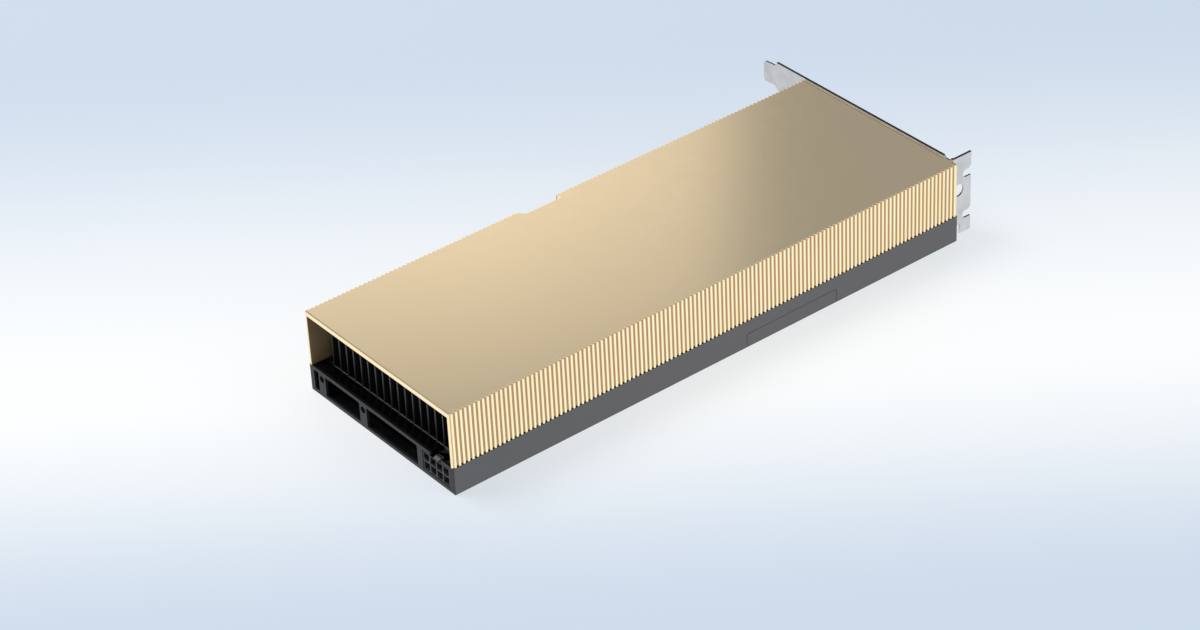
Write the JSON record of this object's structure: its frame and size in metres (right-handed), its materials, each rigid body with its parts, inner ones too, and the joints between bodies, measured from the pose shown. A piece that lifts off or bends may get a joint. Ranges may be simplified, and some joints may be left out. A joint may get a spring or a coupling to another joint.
{
  "type": "passive accelerator card",
  "caption": "Dual-slot server card with a fluted metal shroud open at both ends, cooling fins inside, a dark frame, an edge connector and a slotted steel bracket.",
  "frame": {"origin": "middle of the housing's resting face, halfway between the power end and the bracket", "axes": "+X from the power end to the bracket, +Y towards the edge contacts, +Z out through the shroud"},
  "size_m": [0.2776, 0.1231, 0.0391],
  "materials": {
    "gold_shroud": "satin anodised, champagne gold",
    "dark_frame": "matt dark grey coat on cast aluminium",
    "black_plate": "matt black anodised",
    "link_cap": "moulded, fine grain",
    "bracket_steel": "zinc-plated sheet",
    "board": "glass-epoxy board under dark solder mask",
    "gold_contacts": "gold plate",
    "black_cooler": "black anodised",
    "heat_pad": "soft, matt",
    "package": "laminate carrier",
    "nickel": "nickel plate",
    "silicon": "polished back of a bare die",
    "spring_steel": "plain",
    "inductor": "pressed iron powder",
    "chip_case": "moulded black",
    "capacitor": "moulded and fired cases",
    "connector": "moulded black",
    "tin_pins": "tin plate",
    "thread_brass": "turned",
    "screw_steel": "black oxide"
  },
  "bodies": {
    "root": {"top_shroud": "gold_shroud", "base_frame": "dark_frame", "backplate": "black_plate", "link_cover": "link_cap", "io_bracket": "bracket_steel", "circuit_board": "board", "edge_contacts": "gold_contacts", "link_contacts": "gold_contacts", "cold_plate": "black_cooler", "cooling_fins": "black_cooler", "inductor_pads": "heat_pad", "stage_pads": "heat_pad", "backplate_pads": "heat_pad", "gpu_substrate": "package", "package_ring": "nickel", "processor_die": "silicon", "memory_stacks": "silicon", "thermal_paste": "heat_pad", "spring_brace": "spring_steel", "power_inductors": "inductor", "power_stages": "chip_case", "input_capacitors": "capacitor", "output_capacitors": "capacitor", "rear_capacitors": "capacitor", "input_choke": "inductor", "input_fuses": "chip_case", "phase_controllers": "chip_case", "monitor_chip": "chip_case", "firmware_chip": "chip_case", "clock_crystal": "nickel", "power_connector": "connector", "power_pins": "tin_pins", "retainer_nuts": "thread_brass", "housing_screws": "screw_steel", "shroud_screws": "screw_steel", "brace_screws": "screw_steel", "bracket_screws": "screw_steel"}
  },
  "joints": []
}
